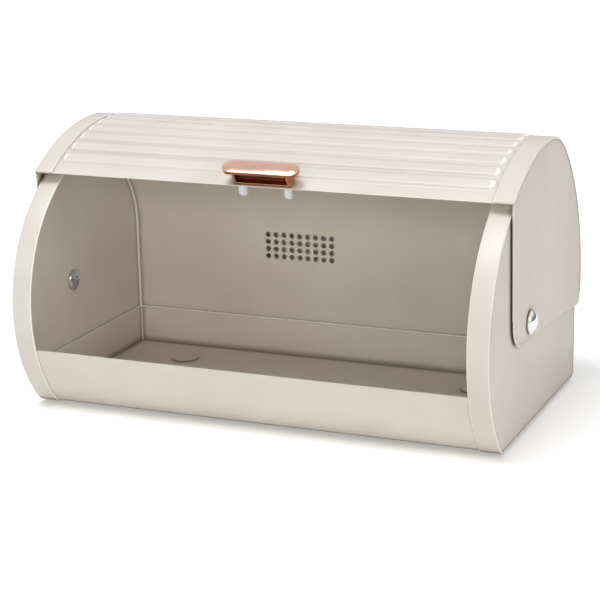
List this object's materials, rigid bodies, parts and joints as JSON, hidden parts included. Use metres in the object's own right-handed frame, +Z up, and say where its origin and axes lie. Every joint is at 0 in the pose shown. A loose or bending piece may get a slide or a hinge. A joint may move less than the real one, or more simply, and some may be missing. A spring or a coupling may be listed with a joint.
{
  "type": "bread box",
  "caption": "Sheet-steel bread box with D-shaped ends, a vented rear wall and a ribbed lid that swings back over the body on two side pivots, with a copper-toned pull.",
  "frame": {"origin": "on the resting surface under the feet, midway across the overall width and depth with the lid open", "axes": "+X along the width to the right end seen from the front, +Y to the rear wall, +Z up; the mouth faces -Y"},
  "size_m": [0.3446, 0.2094, 0.1856],
  "materials": {
    "powder_coat": "satin powder coat, warm off-white",
    "rose_gold": "polished copper-toned plating on a zinc casting",
    "chrome_plate": "polished",
    "zinc_steel": "bright zinc-plated steel",
    "nylon": "natural nylon",
    "clear_silicone": "milky clear silicone",
    "foot_rubber": "matt",
    "stop_rubber": "matt"
  },
  "bodies": {
    "box": {"end_cap_left": "powder_coat", "end_cap_right": "powder_coat", "base_tray": "powder_coat", "back_panel": "powder_coat", "foot_front_left": "foot_rubber", "foot_front_right": "foot_rubber", "foot_rear_left": "foot_rubber", "foot_rear_right": "foot_rubber", "lid_stop_left": "stop_rubber", "lid_stop_right": "stop_rubber", "pivot_nut_left": "chrome_plate", "pivot_nut_right": "chrome_plate", "pivot_screw_left": "zinc_steel", "pivot_screw_right": "zinc_steel", "pivot_spacer_left": "nylon", "pivot_spacer_right": "nylon", "pivot_washer_left": "nylon", "pivot_washer_right": "nylon"},
    "lid": {"lid_shell": "powder_coat", "lid_end_left": "powder_coat", "lid_end_right": "powder_coat", "handle": "rose_gold", "handle_screws": "zinc_steel", "bumper_left": "clear_silicone", "bumper_right": "clear_silicone"}
  },
  "joints": [
    {"name": "lid_swing", "type": "hinge", "parent": "box", "child": "lid", "pos_m": [0, -0.0235, 0.074], "axis": [1, 0, 0], "range_deg": [0, 90]}
  ]
}
